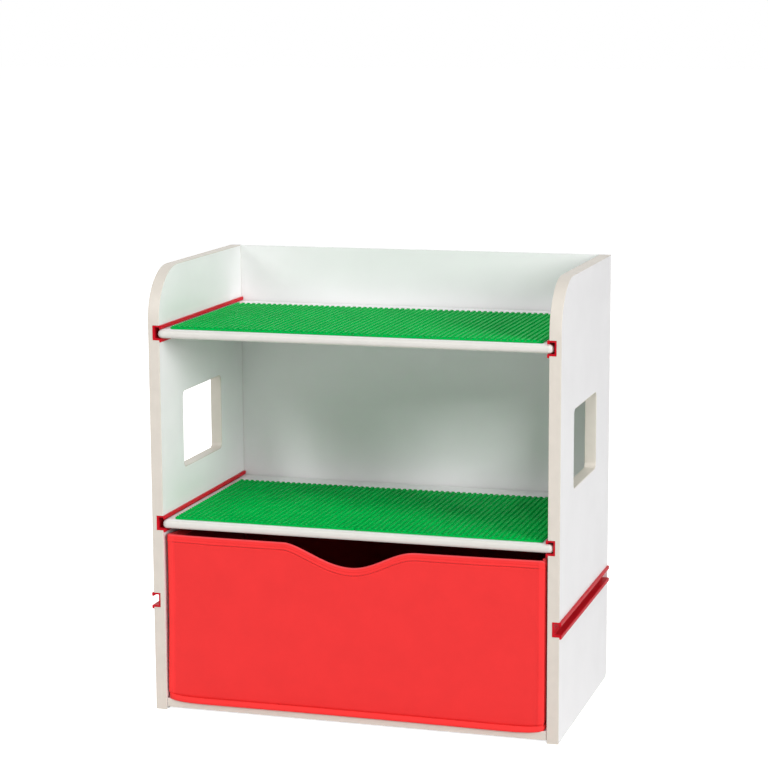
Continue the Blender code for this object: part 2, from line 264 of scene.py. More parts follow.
def set_inputs(tree, node, inputs):
    """Sets a node's inputs by name or number, each to a value or to the output that drives it."""
    for name, value in inputs.items():
        if isinstance(value, bpy.types.NodeSocket):
            tree.links.new(value, node.inputs[name])
        else:
            node.inputs[name].default_value = value


def add_node(tree, kind, inputs=None, **settings):
    """A node of a kind, with its settings and inputs."""
    node = tree.nodes.new(kind)
    for name, value in settings.items():
        setattr(node, name, value)
    set_inputs(tree, node, inputs or {})
    return node


class Finish:
    """A Principled material that noise gives its colour, gloss and relief.

    A grain is (waves per metre, detail) and may have a stretch along each axis as its third value."""

    def __init__(self, name, colour, roughness, inputs=None):
        self.material = bpy.data.materials.new(name)
        self.material.use_nodes = True
        self.material.diffuse_color = (*colour, 1)
        self.tree = self.material.node_tree
        self.colour = colour
        self.place = add_node(self.tree, "ShaderNodeTexCoord").outputs["Object"]
        self.normal = None
        self.set_shader({"Base Color": (*colour, 1), "Roughness": roughness, **(inputs or {})})

    def set_shader(self, inputs):
        """Sets or drives inputs of the shader."""
        set_inputs(self.tree, self.tree.nodes["Principled BSDF"], inputs)

    def texture(self, kind, inputs, stretch=(1, 1, 1)):
        """The outputs of a texture in object coordinates, stretched along each axis."""
        mapping = add_node(self.tree, "ShaderNodeMapping", {"Vector": self.place, "Scale": stretch})
        return add_node(self.tree, kind, {"Vector": mapping.outputs["Vector"], **inputs}).outputs

    def noise(self, scale, detail, *stretch):
        """Noise between 0 and 1."""
        return self.texture("ShaderNodeTexNoise", {"Scale": scale, "Detail": detail}, *stretch)["Fac"]

    def mapped(self, source, low, high):
        """The middle stretch of a noise, mapped from low to high."""
        start, end = noise_stretch
        inputs = {"Value": source, "From Min": start, "From Max": end, "To Min": low, "To Max": high}
        return add_node(self.tree, "ShaderNodeMapRange", inputs).outputs["Result"]

    def tint(self, grain, dark, light):
        """Colour between a darker and a lighter share of the finish's own colour."""
        inputs = {
            "Factor": self.mapped(self.noise(*grain), 0, 1),
            "A": (*(part * dark for part in self.colour), 1),
            "B": (*(min(part * light, 1) for part in self.colour), 1),
        }
        ramp = add_node(self.tree, "ShaderNodeMix", inputs, data_type="RGBA")
        self.set_shader({"Base Color": ramp.outputs["Result"]})

    def gloss(self, grain, low, high):
        """Roughness between two values."""
        self.set_shader({"Roughness": self.mapped(self.noise(*grain), low, high)})

    def relief(self, grain, distance, strength):
        """A layer of noise as bump, over what bump there is."""
        self.bump(self.noise(*grain), distance, strength)

    def bump(self, source, distance, strength):
        """A layer of bump from any source."""
        inputs = {"Height": source, "Distance": distance, "Strength": strength}
        if self.normal:
            inputs["Normal"] = self.normal
        self.normal = add_node(self.tree, "ShaderNodeBump", inputs).outputs["Normal"]
        self.set_shader({"Normal": self.normal})

    def emboss(self, scale, randomness, distance, strength):
        """A layer of embossed points, given as points per metre."""
        points = self.texture("ShaderNodeTexVoronoi", {"Scale": scale, "Randomness": randomness})
        self.bump(points["Distance"], distance, strength)


def make_laminate():
    """White melamine: a fine orange-peel grain under a satin gloss."""
    finish = Finish("white_laminate", white_laminate, 0.36, {"Coat Weight": 0.08, "Coat Roughness": 0.25})
    finish.tint((14, 3), 0.975, 1.015)
    finish.gloss((45, 4), 0.32, 0.42)
    finish.relief((1400, 2), 0.02 * MM, 0.5)
    finish.relief((160, 1), 0.03 * MM, 0.3)
    return finish.material


def make_edge_band(name, colour):
    """Plastic edge banding with faint lines along the edge."""
    finish = Finish(name, colour, 0.40)
    finish.tint((60, 3), 0.97, 1.02)
    finish.gloss((200, 3), 0.36, 0.46)
    finish.relief((1800, 2, (1, 0.05, 0.05)), 0.02 * MM, 0.4)
    return finish.material


def make_hardboard():
    """White lacquer on thin board, a little duller than the melamine."""
    finish = Finish("white_hardboard", white_laminate, 0.46)
    finish.tint((10, 3), 0.97, 1.01)
    finish.gloss((60, 4), 0.42, 0.52)
    finish.relief((900, 3), 0.03 * MM, 0.5)
    return finish.material


def make_rail_plastic():
    """Red extruded plastic with faint draw lines along the rail."""
    finish = Finish("red_plastic", rail_red, 0.36, {"Specular IOR Level": 0.05})
    finish.tint((90, 3), 0.93, 1.06)
    finish.gloss((300, 3, (1, 0.03, 1)), 0.26, 0.38)
    finish.relief((1600, 1, (1, 0.01, 1)), 0.03 * MM, 0.5)
    return finish.material


def make_plate_plastic():
    """Green moulded plastic, glossy, with small scuffs."""
    finish = Finish("green_plastic", plate_green, 0.32, {"Specular IOR Level": 0.015})
    finish.tint((25, 3), 0.92, 1.07)
    finish.gloss((500, 4), 0.18, 0.34)
    finish.relief((700, 2), 0.02 * MM, 0.3)
    return finish.material


def make_cloth(name, colour, roughness, sheen, sheen_roughness, blotches, tints, emboss):
    """Red non-woven cloth: matted fibres, embossed points and soft blotches."""
    inputs = {
        "Sheen Weight": sheen,
        "Sheen Roughness": sheen_roughness,
        "Sheen Tint": (*sheen_tint, 1),
        "Specular IOR Level": cloth_specular,
    }
    finish = Finish(name, colour, roughness, inputs)
    finish.tint(blotches, *tints)
    finish.gloss((400, 2), 0.74, 0.90)
    finish.emboss(640, 0.15, *emboss)
    finish.relief((2600, 3), 0.06 * MM, 0.5)
    return finish.material


def make_fabric():
    """The cloth where it lies single."""
    return make_cloth("red_fabric", fabric_red, 0.85, 0.12, 0.5, (28, 4), (0.975, 1.02), (0.10 * MM, 0.55))


def make_recoloured_cloth(name, colour):
    """The cloth in another colour, a little smoother: a little lighter on the hem, lighter on the side
    bands as painted light, paler on the rim as a painted highlight, darker on the inner face as painted
    shade.
    """
    return make_cloth(name, colour, 0.82, 0.18, 0.45, (40, 3), (0.98, 1.02), (0.08 * MM, 0.5))


def make_thread():
    """Sewing thread with its twist."""
    finish = Finish("red_thread", thread_red, 0.6, {"Sheen Weight": 0.2})
    finish.tint((900, 2), 0.85, 1.15)
    finish.gloss((900, 1), 0.5, 0.7)
    finish.relief((5000, 1), 0.05 * MM, 0.6)
    return finish.material


def make_steel():
    """Zinc-plated steel with fine scratches."""
    finish = Finish("nail_steel", zinc, 0.35, {"Metallic": 1.0})
    finish.tint((800, 3), 0.85, 1.08)
    finish.gloss((1500, 3), 0.25, 0.5)
    finish.relief((3000, 2), 0.02 * MM, 0.5)
    return finish.material


def make_beech():
    """Bare beech with its grain along the dowel."""
    finish = Finish("beech", beech_wood, 0.7)
    finish.tint((700, 4, (0.08, 1, 1)), 0.8, 1.1)
    finish.gloss((900, 2), 0.62, 0.8)
    finish.relief((1500, 3, (0.1, 1, 1)), 0.08 * MM, 0.6)
    return finish.material


def make_pressed_board():
    """Grey-brown pressed board with short fibres."""
    finish = Finish("grey_board", pressed_board, 0.9)
    finish.tint((350, 5), 0.8, 1.2)
    finish.gloss((500, 3), 0.82, 0.96)
    finish.relief((1600, 4), 0.08 * MM, 0.6)
    return finish.material


# Shapes


def shape_from(name, vertices, faces, slots=None):
    """A welded mesh with its faces outward and its round stretches smooth."""
    shape = bpy.data.meshes.new(name)
    shape.from_pydata(vertices, [], faces)
    if slots is not None:
        shape.polygons.foreach_set("material_index", slots)
    tidy_shape(shape)
    return shape


def is_crease(edge):
    """Whether an edge is shaded sharp: a steep one, or one where a broad flat meets a narrow face."""
    if len(edge.link_faces) != 2:
        return True
    angle = edge.calc_face_angle()
    narrow, broad = sorted(face.calc_area() for face in edge.link_faces)
    return angle > crease_angle or (angle > level_angle and broad > broad_share * narrow)


def tidy_shape(shape):
    """Welds a mesh, turns its faces outward and smooths all but its creases."""
    grid = bmesh.new()
    grid.from_mesh(shape)
    bmesh.ops.remove_doubles(grid, verts=grid.verts, dist=weld_distance)
    bmesh.ops.recalc_face_normals(grid, faces=grid.faces)
    for face in grid.faces:
        face.smooth = True
    for edge in grid.edges:
        edge.smooth = not is_crease(edge)
    grid.to_mesh(shape)
    grid.free()


def linked(name, data):
    """A new object in the scene."""
    made = bpy.data.objects.new(name, data)
    bpy.context.scene.collection.objects.link(made)
    return made


def add_piece(name, shape, body, finishes, nodes=()):
    """A piece that rides on a body, stands for CAD nodes and wears one finish per slot."""
    piece = linked(name, shape)
    if not shape.materials:
        for finish in finishes:
            shape.materials.append(finish)
    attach(piece, body)
    if nodes:
        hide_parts(*nodes)
    return piece


def corner_arcs(corners, steps):
    """The points at each corner of an outline, given as (across, along, radius): an arc or the corner."""
    arcs = []
    for index, (across, along, radius) in enumerate(corners):
        corner = Vector((across, along))
        if radius == 0:
            arcs.append([tuple(corner)])
            continue
        before = (Vector(corners[index - 1][:2]) - corner).normalized()
        after = (Vector(corners[(index + 1) % len(corners)][:2]) - corner).normalized()
        half_angle = before.angle(after) / 2
        centre = corner + (before + after).normalized() * radius / math.sin(half_angle)
        tangent = radius / math.tan(half_angle)
        start = corner + before * tangent - centre
        sweep = start.angle_signed(corner + after * tangent - centre)
        turns = [-sweep * step / steps for step in range(steps + 1)]
        arcs.append([tuple(centre + Matrix.Rotation(turn, 2) @ start) for turn in turns])
    return arcs


def rounded(corners, steps):
    """A whole outline from its corners, given as (across, along, radius)."""
    return [point for arc in corner_arcs(corners, steps) for point in arc]


def rounded_rectangle(low, high, radius, inset, steps=small_arc_steps):
    """A rectangle with four equal arcs, or the line at an inset inside it."""
    left, right = low[0] + inset, high[0] - inset
    near, far = low[1] + inset, high[1] - inset
    arc = radius - inset
    return rounded([(left, near, arc), (right, near, arc), (right, far, arc), (left, far, arc)], steps)


def ring_faces(lower, upper):
    """The faces between two rings with as many vertices, each given by its numbers."""
    count = len(lower)
    turns = [(index, (index + 1) % count) for index in range(count)]
    return [(lower[here], lower[after], upper[after], upper[here]) for here, after in turns]


def stacked_faces(count, levels, closed=False, first=0):
    """The faces between rings of vertices that follow each other; closed joins the last to the first."""
    rings = [range(first + level * count, first + (level + 1) * count) for level in range(levels)]
    pairs = zip(rings, rings[1:] + rings[:1] * closed)
    return [face for lower, upper in pairs for face in ring_faces(lower, upper)]


def lofted(name, outline_at, profile, turn, closed=False, side_slots=None):
    """A solid whose outline is inset as its height goes along a profile of (height, inset) points.

    A closed profile makes a ring, any other a capped solid. Each level's sides may have their own slot."""
    vertices = []
    for height, inset in profile:
        vertices += [turn @ Vector((across, along, height)) for across, along in outline_at(inset)]
    count = len(vertices) // len(profile)
    faces = stacked_faces(count, len(profile), closed)
    slots = [slot for slot in side_slots or [0] * (len(faces) // count) for _ in range(count)]
    if not closed:
        faces.append(tuple(range(count))[::-1])
        faces.append(tuple(range(len(vertices) - count, len(vertices))))
        slots += [0, 0]
    return shape_from(name, vertices, faces, slots)


def eased_arris(radius, steps):
    """(height, inset) points up a rounded lower arris."""
    turns = [math.pi / 2 * step / steps for step in range(steps + 1)]
    return [(radius * (1 - math.cos(turn)), radius * (1 - math.sin(turn))) for turn in turns]


def eased_profile(thickness, lower_radius, upper_radius=None, steps=small_arc_steps):
    """(height, inset) points of an edge whose two arrises are rounded."""
    upper = eased_arris(upper_radius or lower_radius, steps)
    lower = eased_arris(lower_radius, steps)
    return lower + [(thickness - height, inset) for height, inset in reversed(upper)]


def filled_outline(name, outlines, thickness, turn):
    """A flat outline, with any further outlines as its holes, given a thickness about its middle."""
    curve = bpy.data.curves.new(name + "_outline", "CURVE")
    curve.dimensions = "2D"
    curve.fill_mode = "BOTH"
    curve.extrude = thickness / 2
    for points in outlines:
        spline = curve.splines.new("POLY")
        spline.points.add(len(points) - 1)
        spline.use_cyclic_u = True
        for place, (across, along) in zip(spline.points, points):
            place.co = (across, along, 0, 1)
    shape = evaluated_shape(linked(name + "_guide", curve), name)
    shape.transform(turn)
    tidy_shape(shape)
    return shape


def evaluated_shape(guide, name):
    """The mesh of a guide with its modifiers applied; the guide is removed."""
    bpy.context.view_layer.update()
    evaluated = guide.evaluated_get(bpy.context.evaluated_depsgraph_get())
    shape = bpy.data.meshes.new_from_object(evaluated)
    shape.name = name
    bpy.data.objects.remove(guide)
    return shape


def box_shape(name, low, high):
    """A plain box between two corners."""
    corners = [(low.x, low.y), (high.x, low.y), (high.x, high.y), (low.x, high.y)]
    return lofted(name, lambda inset: corners, [(low.z, 0), (high.z, 0)], Matrix())


def with_cuts(shape, cutters):
    """A mesh with every cutter taken out of it."""
    guide = linked(shape.name + "_guide", shape)
    tools = []
    for index, cutter in enumerate(cutters):
        tool = linked(f"{shape.name}_cutter_{index}", cutter)
        tools.append(tool)
        difference = guide.modifiers.new("cut", "BOOLEAN")
        difference.operation = "DIFFERENCE"
        difference.solver = "EXACT"
        difference.object = tool
    result = evaluated_shape(guide, shape.name)
    for tool in tools:
        bpy.data.objects.remove(tool)
    tidy_shape(result)
    return result


# Turns that carry an outline from its own plane to the unit
facing_x = Matrix(((0, 0, 1, 0), (1, 0, 0, 0), (0, 1, 0, 0), (0, 0, 0, 1)))
facing_y = Matrix.Rotation(math.pi / 2, 4, "X")


# Carcass


def rail_groove_boxes(side_name):
    """The grooves that the three rails of a side panel sit in."""
    reach = Vector((groove_clearance, cut_overrun, groove_clearance))
    shapes = []
    for place in rail_places:
        low, high = box_of(f"{place}_rail_{side_name}")
        low.z = high.z - rail_height
        shapes.append(box_shape(f"{place}_groove", low - reach, high + reach))
    return shapes


def add_side_panel(side_name, laminate, band):
    """A side panel: the laminated board, its edge banding and the banding in its window."""
    node = f"side_panel_{side_name}"
    low, high = box_of(node)
    thickness = high.x - low.x

    def outline(inset):
        near, far, base, top = low.y + inset, high.y - inset, low.z + inset, high.z - inset
        corner = top_corner_radius - inset
        return rounded([(near, base, 0), (far, base, 0), (far, top, 0), (near, top, corner)], arc_steps)

    def window(outset):
        return rounded_rectangle(window_low, window_high, window_corner_radius, -outset, window_arc_steps)

    middle = Matrix.Translation(((low.x + high.x) / 2, 0, 0)) @ facing_x
    outlines = [outline(band_thickness), window(band_thickness)]
    core = filled_outline(node + "_core", outlines, thickness, middle)
    ring = eased_profile(thickness, band_easing) + [(thickness, band_thickness), (0, band_thickness)]
    near_face = Matrix.Translation((low.x, 0, 0)) @ facing_x
    edge = lofted(node + "_edge", outline, ring, near_face, closed=True)
    jamb = lofted(node + "_jamb", window, ring, near_face, closed=True)
    grooves = rail_groove_boxes(side_name)
    core = with_cuts(core, grooves)
    edge = with_cuts(edge, grooves)
    pieces = (("board", core, laminate), ("edge_band", edge, band), ("window_band", jamb, band))
    for name, shape, finish in pieces:
        add_piece(f"{node}_{name}", shape, "carcass", [finish], [node])


def rail_outline(mouth, depth):
    """The channel of a rail about the middle of its back, open towards the side of its mouth."""
    half = rail_height / 2
    face = depth - rail_proud
    floor = rail_wall - half
    lip_low = floor - rail_hanging_lip
    lip_high = floor + board_thickness + rail_lip_gap
    corners = [
        (0, -half, rail_fillet),
        (face, -half, rail_fillet),
        (face, lip_low, rail_fillet),
        (depth, lip_low, rail_lip_easing),
        (depth, floor, rail_lip_easing),
        (rail_wall, floor, rail_fillet),
        (rail_wall, half - rail_wall, rail_fillet),
        (face, half - rail_wall, rail_fillet),
        (face, lip_high, rail_fillet),
        (depth, lip_high, rail_lip_easing),
        (depth, half, rail_lip_easing),
        (0, half, rail_fillet),
    ]
    return [(mouth * across, along) for across, along in rounded(corners, small_arc_steps)]


def add_rail(node, side, faces_out, plastic):
    """One extruded rail in its groove."""
    low, high = box_of(node)
    mouth = side if faces_out else -side
    back = low.x if mouth > 0 else high.x
    middle = high.z - rail_height / 2
    turn = Matrix.Translation((back, high.y, middle)) @ facing_y
    points = rail_outline(mouth, high.x - low.x)
    length = high.y - low.y
    shape = lofted(node + "_profile", lambda inset: points, [(0, 0), (length, 0)], turn)
    add_piece(node + "_profile", shape, "carcass", [plastic], [node])


def slab_shape(node, name, radius, profile, side_slots=None):
    """A lying slab with rounded corners in the place of a CAD node, its edge along a profile."""
    low, high = box_of(node)
    place = Matrix.Translation((0, 0, low.z))

    def outline(inset):
        return rounded_rectangle(low, high, radius, inset)

    return lofted(name, outline, profile, place, side_slots=side_slots)


def add_board(node, body, lower_radius, upper_radius, plan_radius, finishes):
    """A board with rounded edges: laminate on its faces and the top of its upper arris, banding below. The
    laminate carried over the top of the upper arris is a painted highlight where the nose catches the
    light.
    """
    profile = eased_profile(size_of(node).z, lower_radius, upper_radius, board_arc_steps)
    # The top third of the upper arris wears the white laminate: a painted highlight on the nose
    laminated = board_arc_steps // 3
    slots = [1] * (2 * board_arc_steps + 1 - laminated) + [0] * laminated
    shape = slab_shape(node, node + "_panel", plan_radius, profile, slots)
    add_piece(node + "_panel", shape, body, finishes, [node])


def add_back_panel(hardboard):
    """The thin panel on the rear edges."""
    low, high = box_of("back_panel")

    def outline(inset):
        return rounded_rectangle((low.x, low.z), (high.x, high.z), back_plan_radius, inset)

    profile = eased_profile(high.y - low.y, back_edge_radius)
    place = Matrix.Translation((0, high.y, 0)) @ facing_y
    shape = lofted("back_sheet", outline, profile, place)
    add_piece("back_sheet", shape, "carcass", [hardboard], ["back_panel"])


def angles(sides):
    """Even angles round a full turn."""
    return [2 * math.pi * side / sides for side in range(sides)]


def turned(name, profile, turn):
    """A turned solid from (radius, height) points; the first and the last lie on its axis."""
    vertices = []
    for radius, height in profile:
        for angle in angles(turned_sides):
            spot = Vector((radius * math.cos(angle), radius * math.sin(angle), height))
            vertices.append(turn @ spot)
    return shape_from(name, vertices, stacked_faces(turned_sides, len(profile)))


def add_nails(steel):
    """Every nail of the back panel, its head a shallow dome on the rear face."""
    nodes = [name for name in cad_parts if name.startswith("back_nail")]
    length = size_of(nodes[0]).y
    profile = [
        (0, nail_head_rise),
        (nail_head_radius * 0.6, nail_head_rise * 0.8),
        (nail_head_radius * 0.92, nail_head_rise * 0.3),
        (nail_head_radius, -nail_head_rise),
        (nail_head_radius, -nail_head_thickness),
        (nail_radius, -nail_head_thickness),
        (nail_radius, nail_point - length),
        (0, -length),
    ]
    shape = turned("nail", profile, Matrix.Rotation(-math.pi / 2, 4, "X"))
    for node in sorted(nodes):
        low, high = box_of(node)
        piece = add_piece(node + "_steel", shape, "carcass", [steel])
        piece.location = ((low.x + high.x) / 2, high.y, (low.z + high.z) / 2)
        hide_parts(node)


# Baseplates


def stud_cell(square, rings):
    """The faces of one cell: its top face round a stud, and the stud, as one surface.

    The square holds a list of vertices for each corner, the rings those of the stud from its foot up."""
    faces = []
    quarter = stud_sides // 4
    foot = rings[0]
    for corner in range(4):
        here, after = square[corner], square[(corner + 1) % 4]
        start = corner * quarter
        ring = [foot[(start + step) % stud_sides] for step in range(quarter, -1, -1)]
        faces.append([here[-1], after[0], *ring])
        if len(here) > 1:
            faces.append([*here, foot[start]])
    for lower, upper in zip(rings, rings[1:]):
        faces += ring_faces(lower, upper)
    faces.append(rings[-1])
    return faces


class Baseplate:
    """A baseplate about its own lowest corner: a slab with rounded corners and rows of studs."""

    def __init__(self, size):
        self.size = size
        self.columns = round(size.x / stud_pitch)
        self.rows = round(size.y / stud_pitch)
        self.margin = (self.columns * stud_pitch - size.x) / 2
        self.vertices = []
        self.corners = {}
        self.place_corners()

    def vertex(self, across, along, height):
        """The index of a new vertex."""
        self.vertices.append((across, along, height))
        return len(self.vertices) - 1

    def line(self, index, extent):
        """Where a line between two cells runs; the outermost lines keep to the slab's edges."""
        return min(max(index * stud_pitch - self.margin, 0), extent)

    def place_corners(self):
        """A vertex at each corner of the cells, and an arc of them at each corner of the slab."""
        width, depth, top = self.size
        slab_corners = [(0, 0), (self.columns, 0), (self.columns, self.rows), (0, self.rows)]
        for row in range(self.rows + 1):
            for column in range(self.columns + 1):
                if (column, row) not in slab_corners:
                    spot = (self.line(column, width), self.line(row, depth), top)
                    self.corners[column, row] = [self.vertex(*spot)]
        outline = [(0, 0), (width, 0), (width, depth), (0, depth)]
        arcs = corner_arcs([(*corner, plate_corner_radius) for corner in outline], small_arc_steps)
        for slab_corner, arc in zip(slab_corners, arcs):
            self.corners[slab_corner] = [self.vertex(*point, top) for point in arc]

    def stud_rings(self, column, row):
        """The rings of vertices of one stud, from its foot to its top."""
        levels = [
            (stud_radius, 0),
            (stud_radius, stud_height - stud_easing),
            (stud_radius - stud_easing * 0.3, stud_height - stud_easing * 0.3),
            (stud_radius - stud_easing, stud_height),
        ]
        middle = ((column + 0.5) * stud_pitch - self.margin, (row + 0.5) * stud_pitch - self.margin)
        rings = []
        for radius, height in levels:
            ring = []
            for angle in angles(stud_sides):
                turn = angle - 3 * math.pi / 4
                across = middle[0] + radius * math.cos(turn)
                along = middle[1] + radius * math.sin(turn)
                ring.append(self.vertex(across, along, self.size.z + height))
            rings.append(ring)
        return rings

    def cells(self):
        """The faces of every cell with its stud."""
        faces = []
        for row in range(self.rows):
            for column in range(self.columns):
                places = [(column, row), (column + 1, row), (column + 1, row + 1), (column, row + 1)]
                square = [self.corners[place] for place in places]
                faces += stud_cell(square, self.stud_rings(column, row))
        return faces

    def sides(self):
        """The faces down the slab's edge, and the one under it."""
        places = [(column, 0) for column in range(self.columns)]
        places += [(self.columns, row) for row in range(self.rows)]
        places += [(column, self.rows) for column in range(self.columns, 0, -1)]
        places += [(0, row) for row in range(self.rows, 0, -1)]
        rim = [index for place in places for index in self.corners[place]]
        under = [self.vertex(*self.vertices[index][:2], 0) for index in rim]
        return [*ring_faces(under, rim), under[::-1]]

    def shape(self, name):
        """The whole plate."""
        return shape_from(name, self.vertices, self.cells() + self.sides())


def add_plates(plastic):
    """The four baseplates, which share one shape."""
    shape = None
    for place in board_places:
        body = f"{place}_building_board"
        for side_name in side_signs:
            node = f"{place}_baseplate_{side_name}"
            shape = shape or Baseplate(size_of(node)).shape("studded_plate")
            piece = add_piece(node + "_studded", shape, body, [plastic])
            piece.location = box_of(node)[0]
            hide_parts(node)


# Fabric box


def spread(length):
    """Places from 0 to a length, close together near both ends."""
    first, last = close_places[-1], length - close_places[-1]
    count = round((last - first) / cloth_step)
    middle = [first + (last - first) * step / count for step in range(1, count)]
    return [*close_places, *middle, *(length - place for place in reversed(close_places))]


def bell(distance, width):
    """A smooth bump of height 1 about zero."""
    return math.exp(-((distance / width) ** 2))


def falling(distance, softness):
    """A soft step from 1 down to 0 as a distance goes through zero."""
    return (1 - math.tanh(distance / (2 * softness))) / 2


def hang_share(across, half):
    """How much of the foot's sag a place across the front has."""
    share = min(abs(across) / half, 1)
    return (1 + hang_gain * share**2) * (1 - share**16)


def corner_rise(across, half, radius):
    """How far a rounded corner takes an edge from its line at a place across the wall."""
    past = max(abs(across) - (half - radius), 0)
    return radius - math.sqrt(max(radius * radius - past * past, 0))


def hem_relief(to_top, to_side, line):
    """Relief of the hem with its grooves and stitch line, and of the soft bands at the sides."""
    hem = hem_rise * falling(to_top - line, hem_softness)
    hem += hem_rise * ridge_share * bell(to_top - line + ridge_offset, ridge_width)
    grooves = stitch_groove * bell(to_top - line, stitch_groove_width)
    grooves += sum(depth * bell(to_top - place, hem_groove_width) for place, depth in hem_grooves)
    at_side = falling(to_side - band_width, band_softness)
    return hem - grooves * (1 - at_side) + band_rise * at_side


def seam_crease(over_seam):
    """How far the cloth is drawn in at the foot seam's crease and in the tuck over it."""
    tuck = tuck_depth * math.exp(-max(over_seam, 0) / tuck_length)
    return crease_depth * bell(over_seam, crease_width) + tuck


class SoftWall:
    """A stiffened cloth wall with a hem all round: across and up run along it, out runs through it."""

    def __init__(self, side_name):
        self.node = f"box_{side_name}_wall"
        low, high = box_of(self.node)
        size = high - low
        middle = (low + high) / 2
        (way_x, way_y), self.seed = walls[side_name]
        across, out = Vector((-way_y, way_x, 0)), Vector((way_x, way_y, 0))
        self.front = side_name == "front"
        self.height = size.z
        if way_y:
            self.half, self.thickness, self.bulge = size.x / 2, size.y, front_bulge
        else:
            self.half, self.thickness, self.bulge = size.y / 2, size.x, side_bulge
        origin = Vector((middle.x, middle.y, low.z)) - out * self.thickness / 2
        self.place = Matrix.Translation(origin) @ Matrix((across, (0, 0, 1), out)).transposed().to_4x4()

    def drop(self, across):
        """How far the scoop and the cloth's own sag take the rim down at a place."""
        share = min(abs(across) / self.half, 1)
        if not self.front:
            return side_rim_sag * (1 - share**4)
        if across < 0:
            reach, power, sag = scoop_reach_left, scoop_power_left, rim_sag_left * (1 - share**6)
        else:
            reach, power, sag = scoop_reach_right, 1, rim_sag_right * (1 - rim_sag_lost * share**2)
        scoop = (1 + math.cos(math.pi * min(abs(across) / reach, 1))) / 2
        return sag + (scoop_depth - sag) * scoop**power

    def lean(self, across, up):
        """How far the front's left edge stands in from a straight line, or out at its foot."""
        if not self.front:
            return 0.0
        bow = math.sin(math.pi * up / self.height / left_edge_span) ** left_edge_power
        fade = max(-across / self.half, 0) ** left_edge_fade
        return (left_edge_pull * bow - left_edge_flare) * fade

    def slope(self, across):
        """The rim's slope at a place."""
        return (self.drop(across - slope_step) - self.drop(across + slope_step)) / (2 * slope_step)

    def top(self, across):
        """Height of the rim at a place across."""
        return self.height - self.drop(across) - corner_rise(across, self.half, upper_corner_radius)

    def base(self, across):
        """Height of the lower edge at a place across."""
        return corner_rise(across, self.half, lower_corner_radius)

    def distances(self, across, up):
        """Distances to the rim, the nearer side and the lower edge."""
        to_top = max(self.top(across) - up, 0) / math.hypot(1, self.slope(across))
        return to_top, self.half - abs(across), max(up - self.base(across), 0)

    def seam_line(self, across):
        """Height of the crease over the rolled seam."""
        sag = seam_sag * hang_share(across, self.half) if self.front else 0
        return 2 * seam_half_height - sag + crease_rise

    def stitched_at(self, across):
        """Distance of the stitch line from the rim, which wanders a little."""
        spot = Vector((across / stitch_wander_length, self.seed, 0))
        return stitch_line + stitch_wander * noise.noise(spot)

    def puckers(self, across, to_side, below, above):
        """Short pulls in the cloth, below the stitch line and above the foot seam."""
        below, above = max(below, 0), max(above, 0)
        pull = noise.noise(Vector((across / pucker_length, self.seed, below / (3 * pucker_length))))
        pull *= (1 + pucker_side_gain * bell(to_side, pucker_side_reach)) * math.exp(-below / pucker_reach)
        spot = Vector((across / (2 * pucker_length), self.seed + 5, above / (4 * pucker_length)))
        tug = noise.noise(spot)
        return pucker_height * (pull + tug * math.exp(-above / pucker_reach))

    def waves(self, across, up):
        """Soft waves over the whole cloth, and narrow upright ripples."""
        spot = Vector((across, up, self.seed))
        upright = Vector((across / ripple_length, up / (3 * ripple_length), self.seed))
        broad = noise.fractal(spot / undulation_length, *undulation_fractal)
        return undulation * broad + ripple * noise.noise(upright)

    def relief(self, across, up):
        """How far the outer cloth stands off a flat wall."""
        to_top, to_side = self.distances(across, up)[:2]
        line = self.stitched_at(across)
        over_seam = up - self.seam_line(across)
        soft = self.waves(across, up) + self.puckers(across, to_side, to_top - line, over_seam)
        fade = min(min(to_top, to_side) / hem_width, 1)
        return hem_relief(to_top, to_side, line) - seam_crease(over_seam) + soft * fade

    def swell(self, across, up):
        """How far the whole wall bows outward."""
        share_across = across / self.half
        share_up = 2 * up / self.height - 1
        return self.bulge * max(1 - share_across**4, 0) * max(1 - share_up**4, 0)

    def point(self, across, up, sign):
        """A point on the outer (1) or inner (-1) cloth, in the unit's axes."""
        rim = min(min(self.distances(across, up)) / wall_rim_radius, 1)
        fullness = math.sqrt(1 - (1 - rim) ** 2)
        relief = self.relief(across, up) * (1 if sign > 0 else inner_relief_share)
        out = self.thickness / 2 + self.swell(across, up) + sign * fullness * (self.thickness / 2 + relief)
        return self.place @ Vector((across + self.lean(across, up), up, out))

    def finish_at(self, across, up, sign):
        """Slot of the finish that the outer (1) or inner (-1) cloth wears at a place."""
        to_top, to_side = self.distances(across, up)[:2]
        # The rim band wears the paler red, a painted highlight
        if to_top < rim_highlight_width:
            return rim_highlight_slot
        # The side bands wear the lighter red, painted light on the rolls
        if to_side < (band_width - band_fade if sign > 0 else rim_highlight_width):
            return lit_band_slot
        if to_top < stitch_line:
            return hem_slot
        # The inner face wears the darker red, painted shade inside the box
        if sign < 0:
            return inner_shade_slot
        return hem_slot if to_side < band_width + band_fade else field_slot

    def levels(self, across):
        """Heights of the grid's rows at a place across, held to the hems at both ends."""
        base, top = self.base(across), self.top(across)
        places = spread(self.height)
        count = len(close_places)
        low = [base + place for place in places[:count]]
        high = [top - (self.height - place) for place in places[-count:]]
        steps = len(places) - 2 * count
        middle = [low[-1] + (high[0] - low[-1]) * step / (steps + 1) for step in range(1, steps + 1)]
        return low + middle + high

